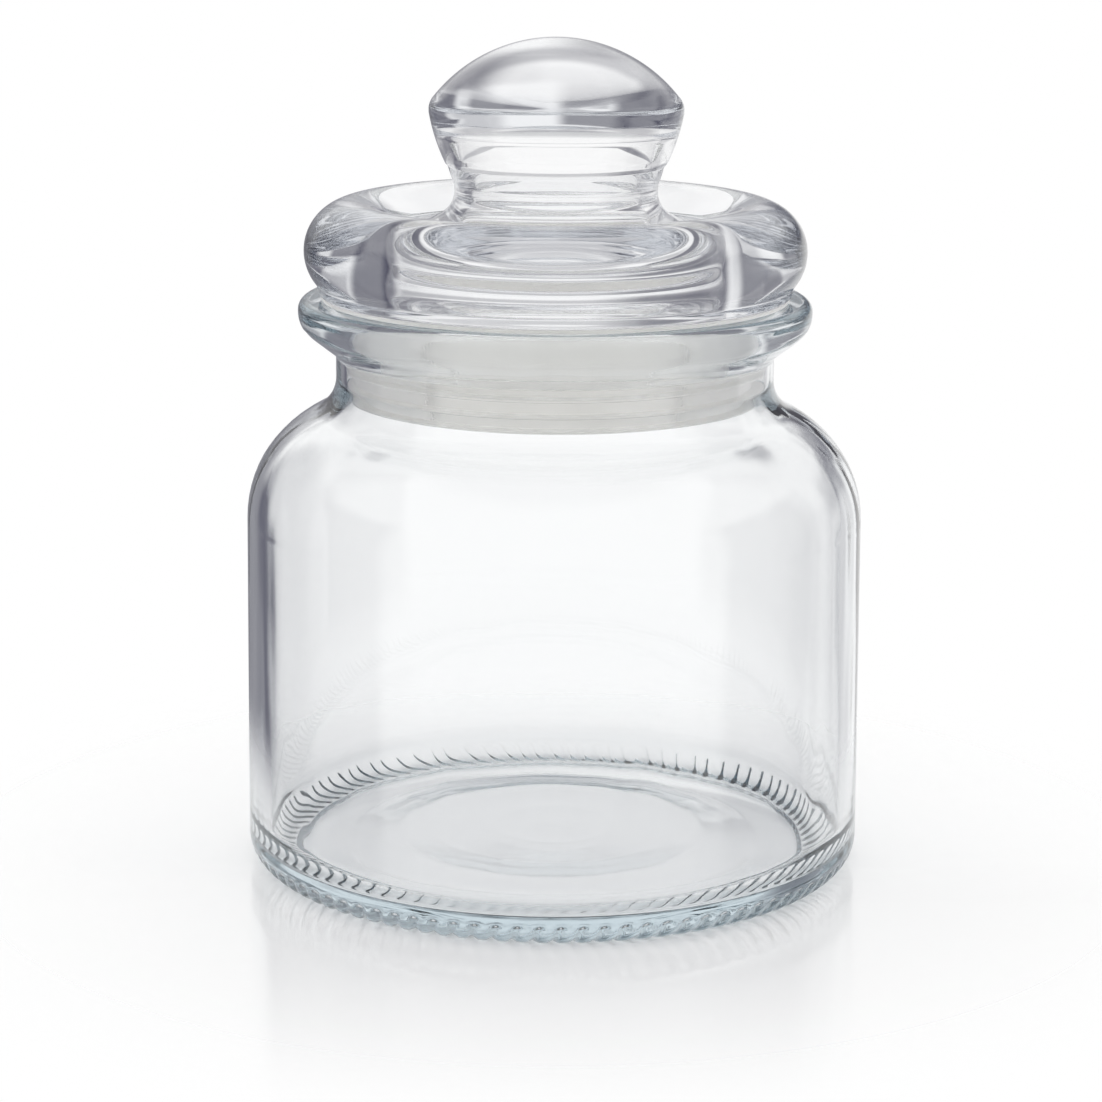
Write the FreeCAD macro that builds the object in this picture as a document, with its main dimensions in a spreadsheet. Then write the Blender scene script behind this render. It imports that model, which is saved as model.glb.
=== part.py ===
"""Round glass storage pot with a hollow-knobbed glass stopper lid and its ribbed plastic seal.

Millimetres and degrees, +Z up. The origin is the centre of the ring that the jar stands on.
The jar, the lid and the seal are bodies of revolution about Z, each drawn as outlines of (r, z)
corners. The jar's bearing ring is then knurled by slanting grooves set round it.
"""

import FreeCAD, Part
import math
import os
import Sketcher

SIZES = {
    # Jar, outside, from the table up. Corners are where the faces would meet without rounds.
    "body_radius": 50.0,
    "foot_flare": 0.6,
    "heel_round": 5.0,
    "shoulder_height": 69.4,
    "shoulder_slope": 27.0,
    "shoulder_flat": 0.6,
    "neck_radius": 35.5,
    "neck_round": 6.5,
    "neck_height": 7.8,
    "flange_overhang": 6.0,
    "flange_cone": 4.6,
    "flange_band": 4.3,
    "flange_low_round": 4.4,
    "flange_top_round": 1.7,
    # Jar, inside.
    "wall": 3.5,
    "mouth_wall": 2.5,
    "lip_chamfer": 0.8,
    "floor_height": 5.4,
    "floor_rise": 1.4,
    "floor_round": 8.0,
    # Jar, underside.
    "bearing_width": 3.0,
    "recess_depth": 1.4,
    "recess_side": 1.2,
    "push_up_radius": 28.0,
    "push_up_depth": 1.2,
    "push_up_side": 2.5,
    # Knurled bearing ring.
    "rib_count": 94,
    "rib_slant": 25.0,
    "groove_inset": 1.1,
    "groove_width": 1.7,
    "groove_depth": 0.8,
    "groove_length": 7.0,
    # Lid, outside, from the face that it rests on up to the top of the knob.
    "rim_overhang": 10.0,
    "roll_radius": 8.0,
    "roll_height": 7.0,
    "roll_start_angle": 128.0,
    "roll_end_angle": 41.0,
    "lid_foot_inset": 0.5,
    "moat_side": 5.3,
    "moat_round": 3.3,
    "waist_height": 14.4,
    "waist_round": 4.5,
    "waist_inset": 2.0,
    "knob_step": 0.4,
    "knob_foot_rise": 6.6,
    "knob_radius": 20.4,
    "knob_taper": 2.6,
    "knob_side_rise": 8.1,
    "knob_side_arc": 30.0,
    "knob_band": 0.7,
    "knob_edge_rise": 1.6,
    "knob_edge_inset": 0.7,
    "knob_edge_arc": 3.0,
    "knob_dome_rise": 9.5,
    # Lid, inside, from the face that it rests on.
    "skirt_depth": 16.0,
    "skirt_wall": 3.2,
    "skirt_chamfer": 0.9,
    "ceiling_height": 7.0,
    "ceiling_round": 4.0,
    "throat_wall": 1.8,
    "throat_mouth_flare": 3.4,
    "throat_mouth_chamfer": 1.6,
    "throat_flare_height": 7.8,
    "throat_length": 2.8,
    "throat_step": 1.5,
    "throat_step_height": 3.6,
    "cavity_side_height": 5.2,
    "cavity_chamfer": 0.9,
    "knob_wall": 3.3,
    "knob_crown": 7.6,
    # Seal, with the room that it has between the neck's bore and the lid's skirt.
    "seal_room": 2.5,
    "seal_wall": 1.0,
    "seal_flange_thickness": 0.7,
    "seal_flange_inset": 2.7,
    "seal_lip_thickness": 1.1,
    "seal_lip_width": 2.0,
    "collar_height": 5.2,
    "collar_gap": 0.6,
    "fin_count": 4,
    "fin_pitch": 2.7,
    "fin_thickness": 0.8,
    # Clearances.
    "skirt_clearance": 0.2,
    "skirt_end_clearance": 0.3,
    "fin_clearance": 0.2,
}

doc = FreeCAD.newDocument("jam_pot")
size = doc.addObject("Spreadsheet::Sheet", "size")
for row, (alias, value) in enumerate(SIZES.items(), start=1):
    size.set(f"A{row}", alias.replace("_", " "))
    size.set(f"B{row}", str(value))
    size.setAlias(f"B{row}", alias)
doc.recompute()

# Heights and radii that the jar, lid and seal share, as expressions on the sheet.
NECK_CORNER = (
    "(size.shoulder_height + (size.body_radius - size.neck_radius) * tan(size.shoulder_slope))"
)
FLANGE_LOW = f"({NECK_CORNER} + size.neck_height + size.flange_cone)"
JAR_TOP = f"({FLANGE_LOW} + size.flange_band)"
MOUTH = "(size.neck_radius - size.mouth_wall)"
SEAT = f"({JAR_TOP} + size.seal_flange_thickness)"
SKIRT = f"({MOUTH} - size.seal_room)"
SKIRT_INNER = f"({SKIRT} - size.skirt_wall)"
SKIRT_END = f"({SEAT} - size.skirt_depth)"
LID_RADIUS = f"({SKIRT} + size.rim_overhang)"
SEAL_INNER = f"({SKIRT} + size.skirt_clearance)"
SEAL_OUTER = f"({SEAL_INNER} + size.seal_wall)"
SEAL_END = f"({SKIRT_END} - size.skirt_end_clearance - size.seal_lip_thickness)"


def evaluate(expression):
    return float(size.evalExpression(expression))


def origin_part(body, role):
    """One of the body's own origin planes or axes."""
    return next(part for part in body.Origin.OriginFeatures if part.Role == role)


class Outline:
    """A closed sketch on the body's XZ plane, drawn corner by corner.

    Every coordinate and radius is an expression, and stays bound to the sheet. A corner may be
    rounded, and a side may be an arc that turns right (clockwise) or left on its way.
    """

    def __init__(self, body, name):
        self.sketch = body.newObject("Sketcher::SketchObject", name)
        self.sketch.AttachmentSupport = [(origin_part(body, "XZ_Plane"), "")]
        self.sketch.MapMode = "FlatFace"
        self.corners = []
        self.rounds = []
        self.arcs = {}

    def to(self, r, z, rounding=None):
        self.corners.append((r, z))
        self.rounds.append(rounding)
        return self

    def arc_to(self, r, z, radius, turn):
        self.arcs[len(self.corners) - 1] = (radius, turn)
        return self.to(r, z)

    def add(self, kind, *where):
        return self.sketch.addConstraint(Sketcher.Constraint(kind, *where))

    def bind(self, kind, where, expression):
        index = self.add(kind, *where, evaluate(expression))
        name = f"{kind}{index}"
        self.sketch.renameConstraint(index, name)
        self.sketch.setExpression(f"Constraints.{name}", expression)

    def pin(self, geometry, vertex, corner):
        """Holds one point at its corner, on an axis where the coordinate is nothing."""
        for kind, coordinate, axis in (("DistanceX", corner[0], -2), ("DistanceY", corner[1], -1)):
            if coordinate == "0":
                self.add("PointOnObject", geometry, vertex, axis)
            else:
                self.bind(kind, (-1, 1, geometry, vertex), coordinate)

    def add_arc(self, centre, start, end, turns_left):
        """Returns the arc with the numbers of its first and last vertex along the outline."""
        first, last = (start, end) if turns_left else (end, start)
        begin = math.atan2(first.y - centre.y, first.x - centre.x)
        finish = math.atan2(last.y - centre.y, last.x - centre.x)
        circle = Part.Circle(centre, FreeCAD.Vector(0, 0, 1), (start - centre).Length)
        arc = self.sketch.addGeometry(Part.ArcOfCircle(circle, begin, finish), False)
        return (arc, 1, 2) if turns_left else (arc, 2, 1)

    def close(self):
        count = len(self.corners)
        points = [FreeCAD.Vector(evaluate(r), evaluate(z), 0) for r, z in self.corners]
        leave, reach, corner_arcs = list(points), list(points), {}
        for i in (i for i in range(count) if self.rounds[i]):
            back = (points[i - 1] - points[i]).normalize()
            ahead = (points[(i + 1) % count] - points[i]).normalize()
            half = back.getAngle(ahead) / 2
            radius = evaluate(self.rounds[i])
            reach[i] = points[i] + back * (radius / math.tan(half))
            leave[i] = points[i] + ahead * (radius / math.tan(half))
            centre = points[i] + (back + ahead).normalize() * (radius / math.sin(half))
            turns_left = back.cross(ahead).z < 0
            corner_arcs[i] = self.add_arc(centre, reach[i], leave[i], turns_left)
        sides = []
        for i in range(count):
            start, end = leave[i], reach[(i + 1) % count]
            if i not in self.arcs:
                side = self.sketch.addGeometry(Part.LineSegment(start, end), False)
                sides.append((side, 1, 2))
                continue
            radius, turn = self.arcs[i]
            half_chord = (end - start) * 0.5
            across = FreeCAD.Vector(-half_chord.y, half_chord.x, 0).normalize()
            reach_in = math.sqrt(evaluate(radius) ** 2 - half_chord.Length ** 2)
            side_sign = 1 if turn == "left" else -1
            centre = start + half_chord + across * (side_sign * reach_in)
            sides.append(self.add_arc(centre, start, end, turn == "left"))
        for i, corner in enumerate(self.corners):
            side, next_side = sides[i - 1], sides[i]
            if i in corner_arcs:
                arc, first, last = corner_arcs[i]
                point = self.sketch.addGeometry(Part.Point(points[i]), True)
                self.pin(point, 1, corner)
                self.add("PointOnObject", point, 1, side[0])
                self.add("PointOnObject", point, 1, next_side[0])
                self.add("Tangent", side[0], side[2], arc, first)
                self.add("Tangent", arc, last, next_side[0], next_side[1])
                self.bind("Radius", (arc,), self.rounds[i])
            else:
                self.add("Coincident", side[0], side[2], next_side[0], next_side[1])
                self.pin(next_side[0], next_side[1], corner)
            if i in self.arcs:
                self.bind("Radius", (next_side[0],), self.arcs[i][0])
        return self.sketch


def arc_radius(half_chord, rise):
    """The radius of an arc that starts level on the axis and falls by rise over half_chord."""
    return f"((({half_chord}) * ({half_chord}) + ({rise}) * ({rise})) / (2 * ({rise})))"


def revolve(body, feature, name, sketch):
    """Turns the outline once round Z, as added glass (Revolution) or a hollow (Groove)."""
    turned = body.newObject(f"PartDesign::{feature}", name)
    turned.Profile = sketch
    turned.ReferenceAxis = (sketch, ["V_Axis"])
    turned.Angle = 360
    sketch.Visibility = False
    doc.recompute()
    return turned


def new_body(label):
    body = doc.addObject("PartDesign::Body", label)
    body.Label = label
    body.Placement = FreeCAD.Placement()
    return body


# Jar: blown glass, with a thick flanged mouth, a round shoulder and a pushed-up base.
jar = new_body("glass_jar")

FOOT_RADIUS = "(size.body_radius + size.foot_flare)"
BEARING_INNER = f"({FOOT_RADIUS} - size.heel_round - size.bearing_width)"
FLANGE_RADIUS = "(size.neck_radius + size.flange_overhang)"
SLOPE_TURN = "tan((90 - size.shoulder_slope) / 2)"
SHOULDER_SIDE = "((size.body_radius - size.neck_radius) / cos(size.shoulder_slope))"
SHOULDER_ROUND = f"(({SHOULDER_SIDE} - size.shoulder_flat) / {SLOPE_TURN} - size.neck_round)"

outside = Outline(jar, "jar_outside")
outside.to("0", "size.recess_depth + size.push_up_depth")
outside.to("size.push_up_radius", "size.recess_depth + size.push_up_depth")
outside.to("size.push_up_radius + size.push_up_side", "size.recess_depth")
outside.to(f"{BEARING_INNER} - size.recess_side", "size.recess_depth")
outside.to(BEARING_INNER, "0")
outside.to(FOOT_RADIUS, "0", "size.heel_round")
outside.to("size.body_radius", "size.shoulder_height", SHOULDER_ROUND)
outside.to("size.neck_radius", NECK_CORNER, "size.neck_round")
outside.to("size.neck_radius", f"{FLANGE_LOW} - size.flange_cone")
outside.to(FLANGE_RADIUS, FLANGE_LOW, "size.flange_low_round")
outside.to(FLANGE_RADIUS, JAR_TOP, "size.flange_top_round")
outside.to("0", JAR_TOP)
revolve(jar, "Revolution", "jar_blank", outside.close())

# The hollow keeps the wall's thickness under the shoulder, and narrows to the mouth's bore.
INNER_RADIUS = "(size.body_radius - size.wall)"
INNER_SLOPE_DROP = "size.wall / cos(size.shoulder_slope)"
INNER_SHOULDER = (
    f"(size.shoulder_height + size.wall * tan(size.shoulder_slope) - {INNER_SLOPE_DROP})"
)
INNER_NECK = (
    f"(size.shoulder_height + (size.body_radius - {MOUTH}) * tan(size.shoulder_slope)"
    f" - {INNER_SLOPE_DROP})"
)
INNER_SIDE = f"(({INNER_RADIUS} - {MOUTH}) / cos(size.shoulder_slope))"
INNER_SHOULDER_ROUND = f"({SHOULDER_ROUND} - size.wall)"
INNER_NECK_ROUND = (
    f"(({INNER_SIDE} - size.shoulder_flat) / {SLOPE_TURN} - {INNER_SHOULDER_ROUND})"
)
FLOOR_EDGE = f"({FOOT_RADIUS} - size.wall - 1.25 * size.floor_round)"

inside = Outline(jar, "jar_inside")
inside.to("0", "size.floor_height + size.floor_rise")
inside.arc_to(FLOOR_EDGE, "size.floor_height", arc_radius(FLOOR_EDGE, "size.floor_rise"), "right")
inside.to(f"{FOOT_RADIUS} - size.wall", "size.floor_height", "size.floor_round")
inside.to(INNER_RADIUS, INNER_SHOULDER, INNER_SHOULDER_ROUND)
inside.to(MOUTH, INNER_NECK, INNER_NECK_ROUND)
inside.to(MOUTH, f"{JAR_TOP} - size.lip_chamfer")
inside.to(f"{MOUTH} + size.lip_chamfer", JAR_TOP)
inside.to("0", JAR_TOP)
revolve(jar, "Groove", "jar_hollow", inside.close())

# Knurling: one slanting V groove, cut from the flat bearing ring outwards and up over the heel.
# A smooth flat land is left inside the grooves.
GROOVE_START = f"({BEARING_INNER} + size.groove_inset)"
groove_profile = jar.newObject("Sketcher::SketchObject", "knurl_profile")
groove_profile.AttachmentSupport = [(origin_part(jar, "YZ_Plane"), "")]
groove_profile.MapMode = "FlatFace"
groove_profile.AttachmentOffset = FreeCAD.Placement(
    FreeCAD.Vector(0, 0, evaluate(GROOVE_START)),
    FreeCAD.Rotation(FreeCAD.Vector(0, 1, 0), evaluate("size.rib_slant")),
)
groove_profile.setExpression("AttachmentOffset.Base.z", GROOVE_START)
groove_profile.setExpression("AttachmentOffset.Rotation.Angle", "size.rib_slant")
half_width = evaluate("size.groove_width / 2")
depth = evaluate("size.groove_depth")
v_corners = [
    FreeCAD.Vector(-half_width * 2, -depth, 0),
    FreeCAD.Vector(half_width * 2, -depth, 0),
    FreeCAD.Vector(0, depth, 0),
]
for i in range(3):
    groove_profile.addGeometry(Part.LineSegment(v_corners[i], v_corners[(i + 1) % 3]), False)
for i in range(3):
    groove_profile.addConstraint(Sketcher.Constraint("Coincident", i, 2, (i + 1) % 3, 1))
groove_profile.addConstraint(Sketcher.Constraint("PointOnObject", 2, 1, -2))
groove_profile.addConstraint(Sketcher.Constraint("Symmetric", 0, 1, 0, 2, -2))
for name, where, expression in (
    ("mouth", ("DistanceX", 0, 1, 0, 2), "2 * size.groove_width"),
    ("root", ("DistanceY", -1, 1, 2, 1), "size.groove_depth"),
    ("below", ("DistanceY", 0, 1, -1, 1), "size.groove_depth"),
):
    index = groove_profile.addConstraint(Sketcher.Constraint(*where, evaluate(expression)))
    groove_profile.renameConstraint(index, name)
    groove_profile.setExpression(f"Constraints.{name}", expression)

smooth_volume = jar.Shape.Volume
knurl_groove = jar.newObject("PartDesign::Pocket", "knurl_groove")
knurl_groove.Profile = groove_profile
knurl_groove.Reversed = True
knurl_groove.setExpression("Length", "size.groove_length")
groove_profile.Visibility = False
doc.recompute()
if not jar.Shape.Volume < smooth_volume:
    raise RuntimeError("the knurl groove cuts nothing")

knurl = jar.newObject("PartDesign::PolarPattern", "knurl")
knurl.Originals = [knurl_groove]
knurl.Axis = (origin_part(jar, "Z_Axis"), [""])
knurl.Angle = 360
knurl.setExpression("Occurrences", "size.rib_count")
jar.Tip = knurl
doc.recompute()

# Lid: pressed glass. A hollow knob on a waist, a moat, and a heavy round rim over the plug
# skirt that goes down into the neck.
lid = new_body("glass_lid")

ROLL_CENTRE = f"({LID_RADIUS} - size.roll_radius)"
ROLL_START_R = f"({ROLL_CENTRE} + size.roll_radius * cos(size.roll_start_angle))"
ROLL_START_Z = f"({SEAT} + size.roll_height + size.roll_radius * sin(size.roll_start_angle))"
ROLL_END_R = f"({ROLL_CENTRE} + size.roll_radius * cos(size.roll_end_angle))"
ROLL_END_Z = f"({SEAT} + size.roll_height - size.roll_radius * sin(size.roll_end_angle))"
MOAT_R = f"({ROLL_START_R} - size.moat_side * sin(size.roll_start_angle))"
MOAT_Z = f"({ROLL_START_Z} + size.moat_side * cos(size.roll_start_angle))"
KNOB_FOOT_R = "(size.knob_radius - size.knob_taper)"
WAIST_R = f"({KNOB_FOOT_R} - size.knob_step - size.waist_inset)"
WAIST_Z = f"({SEAT} + size.waist_height)"
KNOB_FOOT_Z = f"({WAIST_Z} + size.knob_foot_rise)"
KNOB_BAND_Z = f"({KNOB_FOOT_Z} + size.knob_side_rise)"
KNOB_EDGE_Z = f"({KNOB_BAND_Z} + size.knob_band)"
DOME_R = "(size.knob_radius - size.knob_edge_inset)"
DOME_Z = f"({KNOB_EDGE_Z} + size.knob_edge_rise)"
LID_TOP = f"({DOME_Z} + size.knob_dome_rise)"

CEILING_Z = f"({SEAT} + size.ceiling_height)"
THROAT_R = f"({WAIST_R} - size.throat_wall)"
THROAT_MOUTH_R = f"({THROAT_R} + size.throat_mouth_flare)"
THROAT_LOW_Z = f"({CEILING_Z} + size.throat_flare_height)"
THROAT_TOP_Z = f"({THROAT_LOW_Z} + size.throat_length)"
THROAT_STEP_Z = f"({THROAT_TOP_Z} + size.throat_step_height)"
CAVITY_R = "(size.knob_radius - size.knob_wall)"
CAVITY_DOME_R = f"({CAVITY_R} - size.cavity_chamfer)"
CAVITY_SIDE_Z = f"({THROAT_STEP_Z} + size.cavity_side_height)"
CAVITY_DOME_Z = f"({CAVITY_SIDE_Z} + 2 * size.cavity_chamfer)"
CAVITY_TOP = f"({LID_TOP} - size.knob_crown)"

glass = Outline(lid, "lid_section")
glass.to("0", LID_TOP)
glass.arc_to(DOME_R, DOME_Z, arc_radius(DOME_R, "size.knob_dome_rise"), "right")
glass.arc_to("size.knob_radius", KNOB_EDGE_Z, "size.knob_edge_arc", "right")
glass.to("size.knob_radius", KNOB_BAND_Z)
glass.arc_to(KNOB_FOOT_R, KNOB_FOOT_Z, "size.knob_side_arc", "right")
glass.to(f"{KNOB_FOOT_R} - size.knob_step", f"{KNOB_FOOT_Z} - size.knob_step")
glass.to(WAIST_R, WAIST_Z, "size.waist_round")
glass.to(MOAT_R, MOAT_Z, "size.moat_round")
glass.to(ROLL_START_R, ROLL_START_Z)
glass.arc_to(ROLL_END_R, ROLL_END_Z, "size.roll_radius", "right")
glass.to(f"{ROLL_END_R} - size.lid_foot_inset", SEAT)
glass.to(SKIRT, SEAT)
glass.to(SKIRT, f"{SKIRT_END} + size.skirt_chamfer")
glass.to(f"{SKIRT} - size.skirt_chamfer", SKIRT_END)
glass.to(f"{SKIRT_INNER} + size.skirt_chamfer", SKIRT_END)
glass.to(SKIRT_INNER, f"{SKIRT_END} + size.skirt_chamfer")
glass.to(SKIRT_INNER, CEILING_Z, "size.ceiling_round")
glass.to(f"{THROAT_MOUTH_R} + size.throat_mouth_chamfer", CEILING_Z)
glass.to(THROAT_MOUTH_R, f"{CEILING_Z} + size.throat_mouth_chamfer")
glass.to(THROAT_R, THROAT_LOW_Z)
glass.to(THROAT_R, THROAT_TOP_Z)
glass.to(f"{THROAT_R} + size.throat_step", THROAT_STEP_Z)
glass.to(CAVITY_R, CAVITY_SIDE_Z)
glass.to(CAVITY_DOME_R, CAVITY_DOME_Z)
glass.arc_to(
    "0", CAVITY_TOP, arc_radius(CAVITY_DOME_R, f"{CAVITY_TOP} - {CAVITY_DOME_Z}"), "left"
)
revolve(lid, "Revolution", "lid_glass", glass.close())

# Seal: a soft sleeve over the skirt. Its flange lies between lid and jar, its lip turns in
# under the skirt, and its fins brush the neck's bore.
seal = new_body("seal_ring")

COLLAR_RADIUS = f"({MOUTH} - size.collar_gap)"
COLLAR_END = f"({JAR_TOP} - size.collar_height)"
FIN_RADIUS = f"({MOUTH} - size.fin_clearance)"
FIN_ROOT = f"({SEAL_OUTER} - size.seal_wall / 2)"
SEAL_FLANGE = f"({LID_RADIUS} - size.seal_flange_inset)"
LIP_RADIUS = f"({SEAL_INNER} - size.seal_lip_width)"
LIP_TOP = f"({SEAL_END} + size.seal_lip_thickness)"

sleeve = Outline(seal, "seal_section")
sleeve.to(SEAL_INNER, SEAT)
sleeve.to(SEAL_FLANGE, SEAT)
sleeve.to(SEAL_FLANGE, JAR_TOP)
sleeve.to(COLLAR_RADIUS, JAR_TOP)
sleeve.to(COLLAR_RADIUS, COLLAR_END)
sleeve.to(SEAL_OUTER, COLLAR_END)
sleeve.to(SEAL_OUTER, SEAL_END)
sleeve.to(LIP_RADIUS, SEAL_END)
sleeve.to(LIP_RADIUS, LIP_TOP)
sleeve.to(SEAL_INNER, LIP_TOP)
revolve(seal, "Revolution", "seal_sleeve", sleeve.close())

fin = Outline(seal, "fin_section")
fin.to(FIN_ROOT, SEAL_END)
fin.to(FIN_RADIUS, SEAL_END)
fin.to(FIN_RADIUS, f"{SEAL_END} + size.fin_thickness / 2")
fin.to(FIN_ROOT, f"{SEAL_END} + size.fin_thickness")
lowest_fin = revolve(seal, "Revolution", "seal_fin", fin.close())

fins = seal.newObject("PartDesign::LinearPattern", "seal_fins")
fins.Originals = [lowest_fin]
fins.Direction = (origin_part(seal, "Z_Axis"), [""])
fins.setExpression("Length", "size.fin_pitch * (size.fin_count - 1)")
fins.setExpression("Occurrences", "size.fin_count")
seal.Tip = fins
doc.recompute()

# Every object is sound before anything is written.
for item in doc.Objects:
    if "Invalid" in item.State or "Error" in item.State:
        raise RuntimeError(f"{item.Label} failed: {item.State}")
os.makedirs("parts", exist_ok=True)
bodies = (jar, lid, seal)
for body in bodies:
    if body.Shape.isNull() or not body.Shape.isValid():
        raise RuntimeError(f"{body.Label} has no sound solid")
for body in bodies:
    body.Shape.exportStep(f"parts/{body.Label}.step")
    print(f"{body.Label}: {body.Shape.Volume / 1000:.1f} cm3, {body.Shape.BoundBox}")
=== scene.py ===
import math

import bpy
from mathutils import Matrix, Vector


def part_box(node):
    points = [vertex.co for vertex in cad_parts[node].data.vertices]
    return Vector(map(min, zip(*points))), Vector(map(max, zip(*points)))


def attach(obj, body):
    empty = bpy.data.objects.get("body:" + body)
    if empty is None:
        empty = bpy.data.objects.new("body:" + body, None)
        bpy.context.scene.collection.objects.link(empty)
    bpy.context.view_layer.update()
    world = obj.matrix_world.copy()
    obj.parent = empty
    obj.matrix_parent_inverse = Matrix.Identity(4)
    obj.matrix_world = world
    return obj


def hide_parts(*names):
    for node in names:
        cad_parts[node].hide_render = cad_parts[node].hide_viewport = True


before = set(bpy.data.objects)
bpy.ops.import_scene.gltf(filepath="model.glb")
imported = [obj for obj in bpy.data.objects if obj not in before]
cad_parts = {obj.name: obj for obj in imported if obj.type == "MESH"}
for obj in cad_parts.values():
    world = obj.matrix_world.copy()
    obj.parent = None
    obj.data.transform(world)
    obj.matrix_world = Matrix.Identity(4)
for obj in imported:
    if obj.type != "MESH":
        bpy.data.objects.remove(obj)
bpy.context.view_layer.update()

MM = 0.001

# Camera. A long lens stands half a metre in front of the pot and looks a little down on it,
# so that the lid, the shoulder and the base show as flat ellipses.
camera_distance = 530.0
camera_height = 174.29
camera_aside = -0.49
camera_dip = 13.06
camera_lean = 0.32
lens_length = 108.1

camera = bpy.data.objects.new("camera", bpy.data.cameras.new("camera"))
bpy.context.scene.collection.objects.link(camera)
camera.data.lens = lens_length
camera.data.sensor_width = 36.0
camera.data.clip_start = 0.01
camera.matrix_world = (
    Matrix.Translation(Vector((camera_aside, -camera_distance, camera_height)) * MM)
    @ Matrix.Rotation(math.radians(90.0 - camera_dip), 4, "X")
    @ Matrix.Rotation(math.radians(camera_lean), 4, "Z")
)
bpy.context.scene.camera = camera
bpy.context.scene.view_settings.view_transform = "Standard"
# Light leaves thick clear glass only after many bounces, and blurring them would lose light.
cycles = bpy.context.scene.cycles
cycles.max_bounces = 48
cycles.transmission_bounces = 48
cycles.glossy_bounces = 24
cycles.diffuse_bounces = 8
cycles.blur_glossy = 0.0


# Glass jar. It is blown soda glass: a straight neck under a thick flanged mouth, a round
# shoulder, a nearly straight wall, and a pushed-up base inside the knurled ring it stands on.
def corner_arc(before, corner, after, radius, step):
    """Points of the arc that rounds a corner, with one held point on each straight side."""
    back = (before - corner).normalized()
    ahead = (after - corner).normalized()
    half = back.angle(ahead) / 2
    centre = corner + (back + ahead).normalized() * (radius / math.sin(half))
    start = corner + back * (radius / math.tan(half)) - centre
    sweep = start.angle_signed(corner + ahead * (radius / math.tan(half)) - centre)
    count = max(2, math.ceil(abs(math.degrees(sweep)) / step))
    points = []
    for i in range(count + 1):
        turn = -sweep * i / count
        points.append(
            centre
            + Vector(
                (
                    start.x * math.cos(turn) - start.y * math.sin(turn),
                    start.x * math.sin(turn) + start.y * math.cos(turn),
                )
            )
        )
    return points


def outline(corners, step=5.0, hold=0.3, longest=6.0):
    """Points (r, z) of an outline. A corner (r, z, radius) is rounded, and (r, z) is kept.

    Long sides are divided, and have a held point near each end, so that shading stays true.
    """
    places = [Vector(corner[:2]) for corner in corners]
    points = [places[0]]
    for i, corner in enumerate(corners[1:], start=1):
        if len(corner) == 3 and i < len(corners) - 1:
            stop = corner_arc(places[i - 1], places[i], places[i + 1], corner[2], step)
        else:
            stop = [places[i]]
        side = stop[0] - points[-1]
        if side.length > 4 * hold:
            inner = side.length - 2 * hold
            count = math.ceil(inner / longest)
            for k in range(count + 1):
                points.append(points[-1 - k] + side.normalized() * (hold + inner * k / count))
        points.extend(stop)
    return [(point.x, point.y) for point in points]


def arc_points(centre, radius, start, end, step=5.0):
    """Kept corners along an arc about centre, from one angle to another, in degrees."""
    count = max(2, math.ceil(abs(end - start) / step))
    angles = [math.radians(start + (end - start) * i / count) for i in range(count + 1)]
    return [(centre[0] + radius * math.cos(a), centre[1] + radius * math.sin(a)) for a in angles]


def dome_points(rim, top, step=5.0):
    """Kept corners of an arc that is level on the axis at height top and comes down to rim."""
    rise = top - rim[1]
    radius = (rim[0] ** 2 + rise**2) / (2 * rise)
    end = math.degrees(math.acos(rim[0] / radius * (1 if rise > 0 else -1)))
    centre = (0.0, top - radius)
    side = math.degrees(math.atan2(rim[1] - centre[1], rim[0]))
    pole = 90.0 if rise > 0 else -90.0
    return arc_points(centre, abs(radius), pole, side, step)


def add_node(tree, kind, values=None, **settings):
    """Adds a node with its settings, and gives its inputs a number each or a link."""
    node = tree.nodes.new(kind)
    for name, value in settings.items():
        setattr(node, name, value)
    for place, value in (values or {}).items():
        if isinstance(value, bpy.types.NodeSocket):
            tree.links.new(value, node.inputs[place])
        else:
            node.inputs[place].default_value = value
    return node


def calc(tree, operation, *terms):
    """The result of one Math node."""
    return add_node(tree, "ShaderNodeMath", dict(enumerate(terms)), operation=operation).outputs[0]


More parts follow.
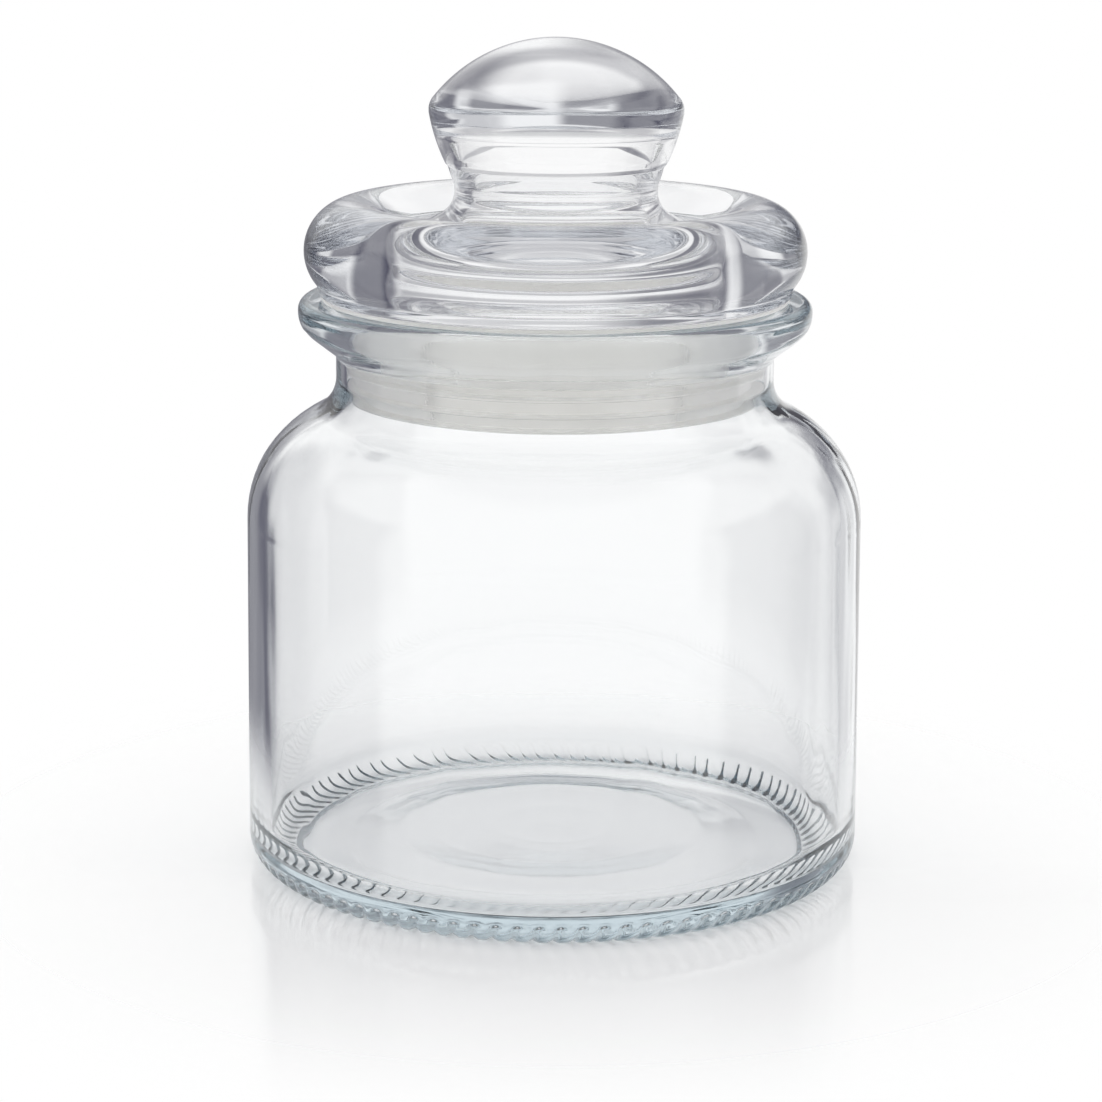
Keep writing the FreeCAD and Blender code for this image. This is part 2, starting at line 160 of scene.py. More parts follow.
def turning_tree():
    """Geometry Nodes that turn an outline once round Z.

    The rows of the turned skin follow the slant of the knurl, so that each V groove lies along
    its own line of points. An outline's point says how far and which way a groove's root is
    carved there, and how much the skin ripples in and out.
    """
    tree = bpy.data.node_groups.new("turned_glass", "GeometryNodeTree")
    face = tree.interface
    face.new_socket("Outline", in_out="INPUT", socket_type="NodeSocketGeometry")
    for name in ("Columns", "Ribs"):
        face.new_socket(name, in_out="INPUT", socket_type="NodeSocketInt").default_value = 0
    for name in (
        "Rib slant",
        "Rib start",
        "Rib end",
        "Groove width",
        "Wave height",
        "Wave pitch",
        "Wave seed",
        "Sharp angle",
    ):
        face.new_socket(name, in_out="INPUT", socket_type="NodeSocketFloat").default_value = 0.0
    face.new_socket("Finish", in_out="INPUT", socket_type="NodeSocketMaterial")
    face.new_socket("Piece", in_out="OUTPUT", socket_type="NodeSocketGeometry")
    given = tree.nodes.new("NodeGroupInput").outputs

    rows = add_node(tree, "GeometryNodeAttributeDomainSize", {0: given["Outline"]}).outputs[0]
    columns = given["Columns"]
    grid = add_node(
        tree,
        "GeometryNodeMeshGrid",
        {"Vertices X": calc(tree, "ADD", columns, 1.0), "Vertices Y": rows},
    ).outputs["Mesh"]
    index = tree.nodes.new("GeometryNodeInputIndex").outputs[0]
    row = calc(tree, "MODULO", index, rows)
    column = calc(tree, "FLOOR", calc(tree, "DIVIDE", calc(tree, "ADD", index, 0.5), rows))
    position = tree.nodes.new("GeometryNodeInputPosition").outputs[0]

    def of_row(value, kind):
        """The outline's own value at this row."""
        terms = {"Geometry": given["Outline"], "Value": value, "Index": row}
        return add_node(tree, "GeometryNodeSampleIndex", terms, data_type=kind).outputs[0]

    def named(name, kind):
        return add_node(
            tree, "GeometryNodeInputNamedAttribute", {"Name": name}, data_type=kind
        ).outputs[0]

    drawn = of_row(position, "FLOAT_VECTOR")
    carve = of_row(named("carve", "FLOAT_VECTOR"), "FLOAT_VECTOR")
    wavy = of_row(named("wavy", "FLOAT"), "FLOAT")
    apart = add_node(tree, "ShaderNodeSeparateXYZ", {0: drawn}).outputs
    radius, height = apart["X"], apart["Z"]
    carved = add_node(tree, "ShaderNodeSeparateXYZ", {0: carve}).outputs

    # A slanting groove's angle round the axis grows from its start as 1 - start / radius.
    reach = calc(tree, "MAXIMUM", radius, given["Rib start"])
    reach = calc(tree, "MINIMUM", reach, given["Rib end"])
    run = calc(tree, "SUBTRACT", 1.0, calc(tree, "DIVIDE", given["Rib start"], reach))
    lean = calc(tree, "MULTIPLY", run, calc(tree, "TANGENT", given["Rib slant"]))
    share = calc(tree, "DIVIDE", column, columns)
    around = calc(tree, "ADD", calc(tree, "MULTIPLY", share, 2 * math.pi), lean)

    # The V's depth at this column, from 1 on its root to 0 on the rib's flat top.
    rib_share = calc(tree, "FRACT", calc(tree, "MULTIPLY", share, given["Ribs"]))
    off_centre = calc(tree, "PINGPONG", calc(tree, "SUBTRACT", 1.0, rib_share), 0.5)
    girth = calc(tree, "MULTIPLY", radius, 2 * math.pi)
    pitch = calc(tree, "DIVIDE", girth, calc(tree, "MAXIMUM", given["Ribs"], 1.0))
    across = calc(tree, "MULTIPLY", pitch, calc(tree, "COSINE", given["Rib slant"]))
    beside = calc(tree, "MULTIPLY", off_centre, across)
    flank = calc(tree, "DIVIDE", beside, calc(tree, "MULTIPLY", given["Groove width"], 0.5))
    vee = calc(tree, "MAXIMUM", calc(tree, "SUBTRACT", 1.0, flank), 0.0)
    radius = calc(tree, "ADD", radius, calc(tree, "MULTIPLY", carved["X"], vee))
    height = calc(tree, "ADD", height, calc(tree, "MULTIPLY", carved["Z"], vee))

    place = add_node(
        tree,
        "ShaderNodeCombineXYZ",
        {
            "X": calc(tree, "MULTIPLY", radius, calc(tree, "COSINE", around)),
            "Y": calc(tree, "MULTIPLY", radius, calc(tree, "SINE", around)),
            "Z": height,
        },
    ).outputs[0]
    stored = add_node(
        tree,
        "GeometryNodeStoreNamedAttribute",
        {"Geometry": grid, "Name": "wavy", "Value": wavy},
        data_type="FLOAT",
    ).outputs[0]
    turned = add_node(
        tree, "GeometryNodeSetPosition", {"Geometry": stored, "Position": place}
    ).outputs[0]
    seam_gap = 0.001
    closed = add_node(
        tree, "GeometryNodeMergeByDistance", {"Geometry": turned, "Distance": seam_gap * MM}
    ).outputs[0]

    # Ripples run up and down the wall, so the pattern is drawn out along Z.
    wave_stretch = 0.16
    drawn_out = add_node(
        tree,
        "ShaderNodeVectorMath",
        {0: position, 1: (1.0, 1.0, wave_stretch)},
        operation="MULTIPLY",
    ).outputs[0]
    ripple = add_node(
        tree,
        "ShaderNodeTexNoise",
        {
            "Vector": drawn_out,
            "W": given["Wave seed"],
            "Scale": calc(tree, "DIVIDE", 1.0, given["Wave pitch"]),
            "Detail": 2.0,
        },
        noise_dimensions="4D",
    ).outputs[0]
    push = calc(tree, "MULTIPLY", calc(tree, "SUBTRACT", ripple, 0.5), given["Wave height"])
    push = calc(tree, "MULTIPLY", push, named("wavy", "FLOAT"))
    normal = tree.nodes.new("GeometryNodeInputNormal").outputs[0]
    shift = add_node(
        tree, "ShaderNodeVectorMath", {0: normal, "Scale": push}, operation="SCALE"
    ).outputs[0]
    rippled = add_node(
        tree, "GeometryNodeSetPosition", {"Geometry": closed, "Offset": shift}
    ).outputs[0]

    smooth = add_node(
        tree, "GeometryNodeSetShadeSmooth", {"Geometry": rippled, "Shade Smooth": True}
    ).outputs[0]
    bend = tree.nodes.new("GeometryNodeInputMeshEdgeAngle").outputs["Unsigned Angle"]
    creased = add_node(
        tree,
        "GeometryNodeSetShadeSmooth",
        {
            "Geometry": smooth,
            "Selection": calc(tree, "GREATER_THAN", bend, given["Sharp angle"]),
            "Shade Smooth": False,
        },
        domain="EDGE",
    ).outputs[0]
    real = add_node(tree, "GeometryNodeRealizeInstances", {0: creased}).outputs[0]
    finished = add_node(
        tree, "GeometryNodeSetMaterial", {"Geometry": real, "Material": given["Finish"]}
    ).outputs[0]
    tree.links.new(finished, tree.nodes.new("NodeGroupOutput").inputs["Piece"])
    return tree


turning = turning_tree()
sharp_angle = math.radians(100.0)


def turned_piece(name, points, finish, columns, wavy=None, carve=None, **sizes):
    """The piece that the outline makes when it is turned round Z, as a plain closed mesh."""
    sketch = bpy.data.meshes.new(name + "_outline")
    sketch.from_pydata([(r * MM, 0.0, z * MM) for r, z in points], [], [])
    ripples = sketch.attributes.new("wavy", "FLOAT", "POINT")
    roots = sketch.attributes.new("carve", "FLOAT_VECTOR", "POINT")
    for i, (r, z) in enumerate(points):
        ripples.data[i].value = wavy(r, z) if wavy else 0.0
        roots.data[i].vector = carve(r, z) * MM if carve else (0.0, 0.0, 0.0)
    holder = bpy.data.objects.new(name + "_outline", sketch)
    bpy.context.scene.collection.objects.link(holder)
    modifier = holder.modifiers.new("turning", "NODES")
    modifier.node_group = turning
    values = {"Columns": columns, "Finish": finish, "Rib start": 1.0, "Rib end": 1.0}
    values.update({word.replace("_", " ").capitalize(): size for word, size in sizes.items()})
    for item in turning.interface.items_tree:
        if item.in_out == "INPUT" and item.name in values:
            modifier[item.identifier] = values[item.name]
    graph = bpy.context.evaluated_depsgraph_get()
    mesh = bpy.data.meshes.new_from_object(holder.evaluated_get(graph))
    bpy.data.objects.remove(holder)
    mesh.name = name
    mesh.attributes.remove(mesh.attributes["wavy"])
    piece = bpy.data.objects.new(name, mesh)
    bpy.context.scene.collection.objects.link(piece)
    return piece


def skin_group():
    """Shared by both glasses: the slow ripple of a moulded skin, and its faint greasy patches."""
    group = bpy.data.node_groups.new("moulded_skin", "ShaderNodeTree")
    face = group.interface
    for name in ("Ripple size", "Patch size", "Least roughness", "Most roughness"):
        face.new_socket(name, in_out="INPUT", socket_type="NodeSocketFloat")
    for name in ("Height", "Roughness"):
        face.new_socket(name, in_out="OUTPUT", socket_type="NodeSocketFloat")
    given = group.nodes.new("NodeGroupInput").outputs
    place = group.nodes.new("ShaderNodeTexCoord").outputs["Object"]
    ripple = add_node(
        group,
        "ShaderNodeTexNoise",
        {"Vector": place, "Scale": calc(group, "DIVIDE", 1.0, given["Ripple size"]), "Detail": 1.0},
    ).outputs[0]
    patch = add_node(
        group,
        "ShaderNodeTexNoise",
        {"Vector": place, "Scale": calc(group, "DIVIDE", 1.0, given["Patch size"]), "Detail": 3.0},
    ).outputs[0]
    patch_start, patch_full = 0.45, 0.7
    rough = add_node(
        group,
        "ShaderNodeMapRange",
        {
            "Value": patch,
            "From Min": patch_start,
            "From Max": patch_full,
            "To Min": given["Least roughness"],
            "To Max": given["Most roughness"],
        },
    ).outputs[0]
    result = group.nodes.new("NodeGroupOutput").inputs
    group.links.new(ripple, result["Height"])
    group.links.new(rough, result["Roughness"])
    return group


moulded_skin = skin_group()
glass_ior = 1.52
skin_relief = 0.01


def glass(name, depth_tint, density, edge_shade_colour, edge_shade_start, skin):
    """Clear glass: tinted a little in its depth, with shade painted into its colour where the skin
    turns edge on.
    """
    material = bpy.data.materials.new(name)
    material.use_nodes = True
    tree = material.node_tree
    shader = tree.nodes["Principled BSDF"]
    shader.inputs["IOR"].default_value = glass_ior
    shader.inputs["Transmission Weight"].default_value = 1.0
    # Painted shade: the base colour goes dark where the skin turns edge on, standing in for the
    # dark edges that the room would give the glass. It is not the glass's own tint.
    facing = add_node(tree, "ShaderNodeLayerWeight", {"Blend": 0.5}).outputs["Facing"]
    edge_shade = add_node(
        tree,
        "ShaderNodeMapRange",
        {"Value": facing, "From Min": edge_shade_start, "From Max": 1.0},
        interpolation_type="SMOOTHSTEP",
    ).outputs[0]
    colour = add_node(tree, "ShaderNodeMix", {"Factor": edge_shade}, data_type="RGBA")
    # The Mix node has sockets of every kind under the same names, so colours go in by place.
    colour.inputs[6].default_value = (1.0, 1.0, 1.0, 1.0)
    colour.inputs[7].default_value = (*edge_shade_colour, 1.0)
    tree.links.new(colour.outputs[2], shader.inputs["Base Color"])
    surface = tree.nodes.new("ShaderNodeGroup")
    surface.node_tree = moulded_skin
    for socket, value in skin.items():
        surface.inputs[socket].default_value = value
    tree.links.new(surface.outputs["Roughness"], shader.inputs["Roughness"])
    relief = add_node(
        tree,
        "ShaderNodeBump",
        {"Strength": 1.0, "Distance": skin_relief * MM, "Height": surface.outputs["Height"]},
    )
    tree.links.new(relief.outputs[0], shader.inputs["Normal"])
    depth = add_node(
        tree, "ShaderNodeVolumeAbsorption", {"Color": (*depth_tint, 1.0), "Density": density}
    )
    tree.links.new(depth.outputs[0], tree.nodes["Material Output"].inputs["Volume"])
    return material


jar_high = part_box("glass_jar")[1]
foot_radius = jar_high.x / MM
jar_top = jar_high.z / MM
body_radius = 50.0
heel_round = 5.0
wall = 3.5
shoulder_height = 69.4
shoulder_slope = math.radians(27.0)
shoulder_round = 19.08
neck_radius = 35.5
neck_round = 6.5
neck_thickening = 7.4
flange_radius = 41.5
flange_band = 4.3
flange_cone = 4.6
flange_low_round = 4.4
flange_top_round = 1.7
flange_foot_round = 1.2
mouth_radius = 33.0
lip_round = 0.8
floor_height = 3.6
floor_rise = 1.4
floor_round = 5.5
floor_edge_share = 1.25
floor_step = 1.0
bearing_inner = 42.6
recess_depth = 1.4
recess_side = 1.2
push_up_radius = 25.0
push_up_depth = 0.8
push_up_side = 9.0
push_up_round = 14.0
small_round = 0.5
rib_start = 43.7
rib_top = 3.9
rib_fade = 0.6
groove_width = 1.9
groove_depth = 0.55
rib_count = 94
rib_slant = 25.0
columns_per_rib = 6
calm_height = 2.0
skin_margin = 1.0
wave_height = 0.6
wave_pitch = 18.0
wave_seed = 3.0

neck_corner = shoulder_height + (body_radius - neck_radius) * math.tan(shoulder_slope)
flange_low = jar_top - flange_band
inner_radius = body_radius - wall
slope_drop = wall / math.cos(shoulder_slope)
inner_shoulder = shoulder_height + wall * math.tan(shoulder_slope) - slope_drop
inner_neck = shoulder_height + (body_radius - mouth_radius) * math.tan(shoulder_slope) - slope_drop
floor_edge = foot_radius - wall - floor_edge_share * floor_round

jar_corners = [
    (0.0, recess_depth + push_up_depth),
    (push_up_radius, recess_depth + push_up_depth, push_up_round),
    (push_up_radius + push_up_side, recess_depth, push_up_round),
    (bearing_inner - recess_side, recess_depth, small_round),
    (bearing_inner, 0.0, small_round),
    (rib_start, 0.0),
    (rib_start + rib_fade, 0.0),
    (foot_radius, 0.0, heel_round),
    (body_radius, shoulder_height, shoulder_round),
    (neck_radius, neck_corner, neck_round),
    (neck_radius, flange_low - flange_cone, flange_foot_round),
    (flange_radius, flange_low, flange_low_round),
    (flange_radius, jar_top, flange_top_round),
    (mouth_radius, jar_top, lip_round),
    (mouth_radius, inner_neck, shoulder_round - wall - neck_thickening),
    (inner_radius, inner_shoulder, shoulder_round - wall),
    (foot_radius - wall, floor_height, floor_round),
    (floor_edge, floor_height),
    *dome_points((floor_edge, floor_height), floor_height + floor_rise, floor_step)[::-1],
]


def knurl_root(r, z):
    """Which way and how far the knurl's grooves are carved, square to the land and the heel."""
    heel_centre = Vector((foot_radius - heel_round, 0.0, heel_round))
    inward = heel_centre - Vector((max(r, heel_centre.x), 0.0, z))
    share = min(1.0, (r - rib_start) / rib_fade, (rib_top - z) / rib_fade)
    return inward.normalized() * groove_depth * max(0.0, share)


def blown_wall(r, z):
    """How much the skin ripples: only inside, from the floor up to the neck."""
    return float(r < inner_radius + skin_margin and floor_height + calm_height < z < flange_low)


jar_glass = glass(
    "jar_glass",
    depth_tint=(0.62, 0.73, 0.78),
    density=14.0,
    # Colour of the painted shade at the jar's edge-on skin, not a tint of the glass.
    edge_shade_colour=(0.20, 0.22, 0.27),
    edge_shade_start=0.80,
    skin={
        "Ripple size": 0.012,
        "Patch size": 0.03,
        "Least roughness": 0.0,
        "Most roughness": 0.012,
    },
)
glass_jar = turned_piece(
    "glass_jar_blown",
    outline(jar_corners),
    jar_glass,
    rib_count * columns_per_rib,
    wavy=blown_wall,
    carve=knurl_root,
    ribs=rib_count,
    rib_slant=math.radians(rib_slant),
    rib_start=rib_start * MM,
    rib_end=foot_radius * MM,
    groove_width=groove_width * MM,
    wave_height=wave_height * MM,
    wave_pitch=wave_pitch * MM,
    wave_seed=wave_seed,
    sharp_angle=sharp_angle,
)
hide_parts("glass_jar")
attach(glass_jar, "jar")


# Seal ring. It is a soft milky sleeve moulded in one: a thin flange between lid and jar, a
# thicker collar, fins that brush the neck's bore, and a lip turned in under the lid's skirt.
seal_low, seal_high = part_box("seal_ring")
seal_top = seal_high.z / MM
seal_radius = seal_high.x / MM
seal_end = seal_low.z / MM
seal_inner = 30.7
seal_outer = 31.7
lip_thickness = 1.1
lip_width = 2.0
collar_radius = 32.4
collar_height = 5.2
fin_radius = 32.8
fin_pitch = 2.7
fin_thickness = 0.8
fin_count = 4
soft_round = 0.15
contact_gap = 0.03
seal_columns = 240
cloud_scale = 90.0
flow_scale = 400.0
flow_stretch = 0.08
grain_scale = 2500.0
grain_share = 0.4
milk_relief_depth = 0.05
light_milk = (0.89, 0.88, 0.86, 1.0)
dark_milk = (0.77, 0.76, 0.73, 1.0)

seal_corners = [
    (seal_outer, seal_end + fin_thickness),
    (fin_radius, seal_end + fin_thickness / 2, soft_round),
    (fin_radius, seal_end, soft_round),
    (seal_inner - lip_width, seal_end, soft_round),
    (seal_inner - lip_width, seal_end + lip_thickness, soft_round),
    (seal_inner, seal_end + lip_thickness, soft_round),
    (seal_inner, seal_top - contact_gap, soft_round),
    (seal_radius, seal_top - contact_gap, soft_round),
    (seal_radius, jar_top + contact_gap, soft_round),
    (collar_radius, jar_top + contact_gap, soft_round),
    (collar_radius, jar_top - collar_height, soft_round),
    (seal_outer, jar_top - collar_height, soft_round),
]
for fin in reversed(range(1, fin_count)):
    fin_foot = seal_end + fin * fin_pitch
    seal_corners += [
        (seal_outer, fin_foot + fin_thickness, soft_round),
        (fin_radius, fin_foot + fin_thickness / 2, soft_round),
        (fin_radius, fin_foot, soft_round),
        (seal_outer, fin_foot, soft_round),
    ]
seal_corners.append(seal_corners[0])

# Milky polyethylene: light comes through it, cloudy patches are set in it, and the mould has
# left a fine grain and faint flow lines from top to bottom.
milky_plastic = bpy.data.materials.new("milky_plastic")
milky_plastic.use_nodes = True
milk = milky_plastic.node_tree
milk_shader = milk.nodes["Principled BSDF"]
milk_shader.inputs["IOR"].default_value = 1.5
milk_shader.inputs["Transmission Weight"].default_value = 0.45
milk_place = milk.nodes.new("ShaderNodeTexCoord").outputs["Object"]
cloud = add_node(
    milk, "ShaderNodeTexNoise", {"Vector": milk_place, "Scale": cloud_scale, "Detail": 3.0}
)
milk_colour = milk.nodes.new("ShaderNodeMix")
milk_colour.data_type = "RGBA"
milk_colour.inputs[6].default_value = light_milk
milk_colour.inputs[7].default_value = dark_milk
milk.links.new(cloud.outputs[0], milk_colour.inputs[0])
milk.links.new(milk_colour.outputs[2], milk_shader.inputs["Base Color"])
flow_place = add_node(
    milk,
    "ShaderNodeVectorMath",
    {0: milk_place, 1: (1.0, 1.0, flow_stretch)},
    operation="MULTIPLY",
).outputs[0]
flow = add_node(
    milk, "ShaderNodeTexNoise", {"Vector": flow_place, "Scale": flow_scale, "Detail": 2.0}
)
milk_rough = add_node(
    milk,
    "ShaderNodeMapRange",
    {"Value": flow.outputs[0], "From Min": 0.3, "From Max": 0.7, "To Min": 0.38, "To Max": 0.52},
).outputs[0]
milk.links.new(milk_rough, milk_shader.inputs["Roughness"])
grain = add_node(
    milk, "ShaderNodeTexNoise", {"Vector": milk_place, "Scale": grain_scale, "Detail": 1.0}
)
fine_grain = calc(milk, "MULTIPLY", grain.outputs[0], grain_share)
milk_height = calc(milk, "ADD", flow.outputs[0], fine_grain)
milk_relief = add_node(
    milk,
    "ShaderNodeBump",
    {"Strength": 0.6, "Distance": milk_relief_depth * MM, "Height": milk_height},
)
milk.links.new(milk_relief.outputs[0], milk_shader.inputs["Normal"])

seal_ring = turned_piece(
    "seal_ring_moulded",
    outline(seal_corners, step=30.0, hold=0.1, longest=8.0),
    milky_plastic,
    seal_columns,
    sharp_angle=sharp_angle,
)
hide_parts("seal_ring")
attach(seal_ring, "seal")


# Glass lid. It is pressed in one piece: a hollow knob on a waist, a moat round it, a heavy
# rolled rim that bears on the seal, and a plug skirt that carries the seal down into the neck.
lid_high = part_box("glass_lid")[1]
lid_radius = lid_high.x / MM
lid_top = lid_high.z / MM
seat = seal_top
roll_radius = 8.0
roll_start = 128.0
roll_end = -41.0
roll_rise = 7.0
roll_step = 3.0
foot_inset = 0.5
foot_round = 0.6
seat_round = 0.3
moat_side = 5.3
moat_round = 3.3
waist_round = 4.5
knob_radius = 20.4
knob_foot_radius = 17.8
knob_side_arc = 30.0
knob_step = 0.4
waist_radius = 15.4
waist_height = 14.4
knob_foot_height = 21.0
knob_side_rise = 8.1
knob_band = 0.7
knob_edge_rise = 1.6
knob_edge_inset = 0.7
knob_edge_round = 3.0
knob_edge_arc = 5.0
knob_side_step = 1.0
dome_step = 1.2
knob_foot_round = 0.4
skirt_radius = 30.5
skirt_wall = 3.2
skirt_depth = 16.0
skirt_round = 0.9
ceiling_height = 7.0
ceiling_round = 1.2
throat_radius = 13.6
throat_round = 1.5
throat_wide_round = 2.0
throat_mouth_radius = 17.0
throat_mouth_round = 1.6
throat_flare_height = 7.8
throat_length = 2.8
throat_step = 1.5
throat_step_height = 3.6
cavity_side_height = 5.2
cavity_radius = 17.1
cavity_round = 0.9
knob_crown = 7.6
lid_columns = 288


def bowed_side(start, end, radius, step):
    """Kept corners of an arc of a known radius between two points, which bulges outwards."""
    chord = Vector(end) - Vector(start)
    reach = math.sqrt(radius**2 - (chord.length / 2) ** 2)
    across = Vector((-chord.y, chord.x)).normalized()
    centre = Vector(start) + chord / 2 + across * reach
    first = math.degrees(math.atan2(start[1] - centre.y, start[0] - centre.x))
    last = math.degrees(math.atan2(end[1] - centre.y, end[0] - centre.x))
    last += 360.0 * round((first - last) / 360.0)
    return arc_points(centre, radius, first, last, step)


roll_centre = (lid_radius - roll_radius, seat + roll_rise)
knob_foot_z = seat + knob_foot_height
knob_band_z = knob_foot_z + knob_side_rise
knob_edge_z = knob_band_z + knob_band
dome_rim = (knob_radius - knob_edge_inset, knob_edge_z + knob_edge_rise)
roll = arc_points(roll_centre, roll_radius, roll_end, roll_start, roll_step)
moat_lean = math.radians(roll_start)
moat = (
    roll[-1][0] - moat_side * math.sin(moat_lean),
    roll[-1][1] + moat_side * math.cos(moat_lean),
)
ceiling = seat + ceiling_height
throat_top = ceiling + throat_flare_height + throat_length
cavity_side = throat_top + throat_step_height + cavity_side_height
cavity_rim = (cavity_radius - cavity_round, cavity_side + 2 * cavity_round)
skirt_end = seat - skirt_depth

lid_corners = [
    *dome_points(cavity_rim, lid_top - knob_crown, dome_step),
    (cavity_radius, cavity_side, throat_wide_round),
    (throat_radius + throat_step, throat_top + throat_step_height, throat_wide_round),
    (throat_radius, throat_top, throat_round),
    (throat_radius, ceiling + throat_flare_height, throat_wide_round),
    (throat_mouth_radius, ceiling + throat_mouth_round, throat_round),
    (throat_mouth_radius + throat_mouth_round, ceiling, throat_round),
    (skirt_radius - skirt_wall, ceiling, ceiling_round),
    (skirt_radius - skirt_wall, skirt_end, skirt_round),
    (skirt_radius, skirt_end, skirt_round),
    (skirt_radius, seat, seat_round),
    (roll[0][0] - foot_inset, seat, foot_round),
    *roll,
    (*moat, moat_round),
    (waist_radius, seat + waist_height, waist_round),
    (knob_foot_radius - knob_step, knob_foot_z - knob_step, knob_foot_round),
    *bowed_side(
        (knob_foot_radius, knob_foot_z), (knob_radius, knob_band_z), knob_side_arc, knob_side_step
    ),
    *bowed_side((knob_radius, knob_edge_z), dome_rim, knob_edge_round, knob_edge_arc),
    *dome_points(dome_rim, lid_top, dome_step)[::-1],
]

lid_glass = glass(
    "lid_glass",
    depth_tint=(0.70, 0.73, 0.78),
    density=10.0,
    # Colour of the painted shade at the lid's edge-on skin, not a tint of the glass.
    edge_shade_colour=(0.15, 0.14, 0.20),
    edge_shade_start=0.78,
    skin={
        "Ripple size": 0.010,
        "Patch size": 0.02,
        "Least roughness": 0.0,
        "Most roughness": 0.02,
    },
)
glass_lid = turned_piece(
    "glass_lid_pressed",
    outline(lid_corners),
    lid_glass,
    lid_columns,
    sharp_angle=sharp_angle,
)
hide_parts("glass_lid")
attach(glass_lid, "lid")


# Floor and light. The pot stands on a white table, glossy only ahead of the pot, in a room that
# is plain white to the camera. Dark cards in the room show in the glass and in the table.
table_radius = 130.0
table_sides = 128
table_drop = 0.1
fade_start = 54.0
fade_end = 124.0
gloss_start = 43.0
gloss_full = 48.0
ahead_start = 4.0
ahead_full = 26.0
gloss_roughness = 0.14
gloss_ior = 2.6
dull_roughness = 0.8
white = (1.0, 1.0, 1.0, 1.0)
card_colour = (0.05, 0.05, 0.09, 1.0)

bpy.ops.mesh.primitive_circle_add(
    vertices=table_sides,
    radius=table_radius * MM,
    fill_type="NGON",
    location=(0.0, 0.0, -table_drop * MM),
)
table = bpy.context.object
table.name = "table_top"
table_finish = bpy.data.materials.new("table_top")
table_finish.use_nodes = True
table_tree = table_finish.node_tree
glossy_top = table_tree.nodes["Principled BSDF"]
glossy_top.inputs["Base Color"].default_value = white
glossy_top.inputs["Roughness"].default_value = gloss_roughness
glossy_top.inputs["IOR"].default_value = gloss_ior
dull_top = table_tree.nodes.new("ShaderNodeBsdfPrincipled")
dull_top.inputs["Base Color"].default_value = white
dull_top.inputs["Roughness"].default_value = dull_roughness
dull_top.inputs["Specular IOR Level"].default_value = 0.0
table_place = table_tree.nodes.new("ShaderNodeTexCoord").outputs["Object"]
from_pot = add_node(
    table_tree, "ShaderNodeVectorMath", {0: table_place}, operation="LENGTH"
).outputs["Value"]
toward_back = add_node(table_tree, "ShaderNodeSeparateXYZ", {0: table_place}).outputs["Y"]


def table_ramp(value, start, end):
    """A smooth rise from 0 to 1 over the table, between two distances in millimetres."""
    limits = {"Value": value, "From Min": start * MM, "From Max": end * MM}
    return add_node(
        table_tree, "ShaderNodeMapRange", limits, interpolation_type="SMOOTHSTEP"
    ).outputs[0]


# The table fades out into the white room, and its gloss begins at the pot's foot.
fade = table_ramp(from_pot, fade_end, fade_start)
ahead = table_ramp(toward_back, -ahead_start, -ahead_full)
gloss = calc(table_tree, "MULTIPLY", ahead, table_ramp(from_pot, gloss_start, gloss_full))
table_tree.links.new(fade, glossy_top.inputs["Alpha"])
table_tree.links.new(fade, dull_top.inputs["Alpha"])
table_mix = add_node(
    table_tree,
    "ShaderNodeMixShader",
    {0: gloss, 1: dull_top.outputs[0], 2: glossy_top.outputs[0]},
)
table_tree.links.new(table_mix.outputs[0], table_tree.nodes["Material Output"].inputs[0])
table.data.materials.append(table_finish)

world = bpy.data.worlds.new("white_room")
bpy.context.scene.world = world
world.use_nodes = True
sky = world.node_tree
path = sky.nodes.new("ShaderNodeLightPath").outputs
direction = sky.nodes.new("ShaderNodeTexCoord").outputs["Generated"]
toward = add_node(sky, "ShaderNodeSeparateXYZ", {0: direction}).outputs
elevation = calc(sky, "ARCSINE", toward["Z"])
azimuth = calc(sky, "ARCTAN2", toward["X"], toward["Y"])


def card(middle, half_width, low, high, strength, soft=4.0):
    """How dark a card makes the room, in degrees: azimuth 0 is behind the pot, 90 right of it."""
    turn = calc(sky, "SUBTRACT", azimuth, math.radians(middle))
    off = calc(sky, "ABSOLUTE", calc(sky, "WRAP", turn, math.pi, -math.pi))
    shade = strength
    for value, start, end in (
        (off, half_width + soft, half_width - soft),
        (elevation, low - soft, low + soft),
        (elevation, high + soft, high - soft),
    ):
        limits = {"Value": value, "From Min": math.radians(start), "From Max": math.radians(end)}
        share = add_node(
            sky, "ShaderNodeMapRange", limits, interpolation_type="SMOOTHSTEP"
        ).outputs[0]
        shade = calc(sky, "MULTIPLY", shade, share)
    return shade


def hang(light, shade):
    """The light that is left of the room's when a card hangs in it."""
    return calc(sky, "MULTIPLY", light, calc(sky, "SUBTRACT", 1.0, shade))


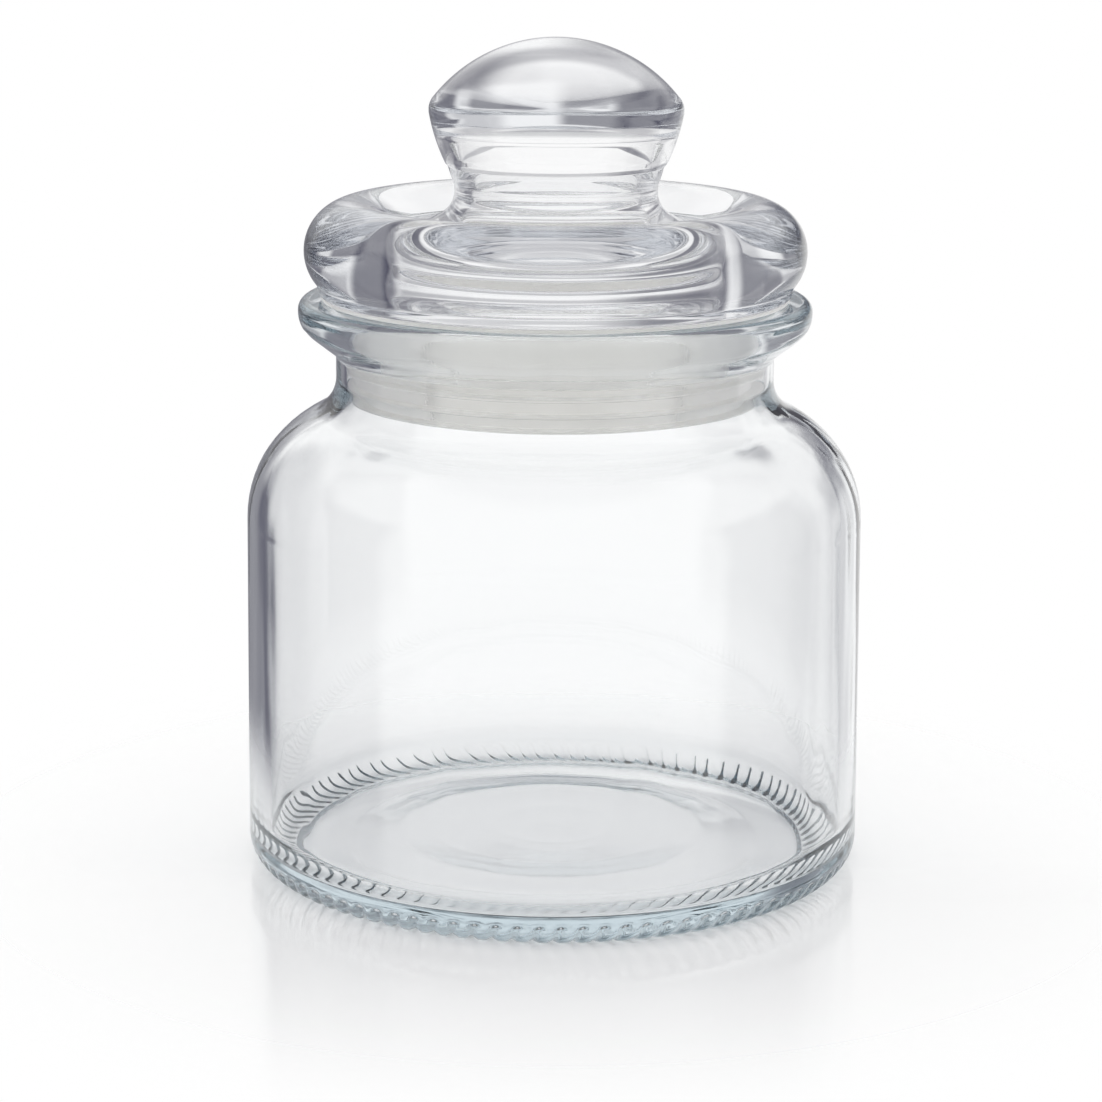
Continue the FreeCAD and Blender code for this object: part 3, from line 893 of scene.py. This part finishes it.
left_card = card(-54.0, 20.0, -70.0, 30.0, 0.8, 6.0)
right_card = card(46.0, 16.0, -70.0, 8.0, 0.35, 6.0)
left_side = card(-90.0, 24.0, -75.0, 25.0, 0.85)
right_side = card(90.0, 24.0, -75.0, 25.0, 0.85)
shelf = card(0.0, 30.0, 1.0, 10.0, 0.45, 2.5)
shelf_right = card(30.0, 24.0, 1.0, 16.0, 0.7)
high_back = card(0.0, 70.0, 34.0, 60.0, 0.4, 6.0)
ceiling_card = card(0.0, 200.0, 64.0, 100.0, 0.4, 6.0)
light = 1.0
for shade in (
    left_card,
    right_card,
    left_side,
    right_side,
    shelf,
    shelf_right,
    high_back,
    ceiling_card,
):
    light = hang(light, shade)

# Two cards count only for some rays. One darkens only light that was thrown back at least once,
# which draws the dark band in the pot's left wall. The other darkens light that was thrown back
# and also passed four to six glass faces, as the pot's image in the table does.
fewest_faces = 3.5
most_faces = 6.5
thrown_back = calc(sky, "MINIMUM", path["Glossy Depth"], 1.0)
wall_band = card(-22.0, 20.0, -34.0, 2.0, 0.75, 5.0)
light = hang(light, calc(sky, "MULTIPLY", thrown_back, wall_band))
enough = calc(sky, "GREATER_THAN", path["Transmission Depth"], fewest_faces)
no_more = calc(sky, "LESS_THAN", path["Transmission Depth"], most_faces)
image_rays = calc(sky, "MULTIPLY", thrown_back, calc(sky, "MULTIPLY", enough, no_more))
image_card = card(0.0, 80.0, 3.0, 30.0, 0.4, 5.0)
light = hang(light, calc(sky, "MULTIPLY", image_rays, image_card))

# The cards above are dark only to rays that have not met a dull surface. Rays that have, and then
# pass through glass, meet a card of their own, which deepens the pot's shadow on the table.
in_glass = calc(sky, "MAXIMUM", path["Is Glossy Ray"], path["Is Transmission Ray"])
in_glass = calc(sky, "MULTIPLY", in_glass, calc(sky, "LESS_THAN", path["Diffuse Depth"], 0.5))
dark = calc(sky, "MULTIPLY", calc(sky, "SUBTRACT", 1.0, light), in_glass)
went_through = calc(sky, "MINIMUM", path["Transmission Depth"], 1.0)
off_table = calc(sky, "MINIMUM", path["Diffuse Depth"], 1.0)
shadow_rays = calc(sky, "MULTIPLY", went_through, off_table)
shadow = calc(sky, "MULTIPLY", card(0.0, 65.0, -5.0, 42.0, 1.0, 5.0), shadow_rays)
room = add_node(
    sky, "ShaderNodeMix", {"Factor": calc(sky, "MAXIMUM", dark, shadow)}, data_type="RGBA"
)
room.inputs[6].default_value = white
room.inputs[7].default_value = card_colour
backdrop = sky.nodes["Background"]
backdrop.inputs["Strength"].default_value = 1.0
sky.links.new(room.outputs[2], backdrop.inputs["Color"])
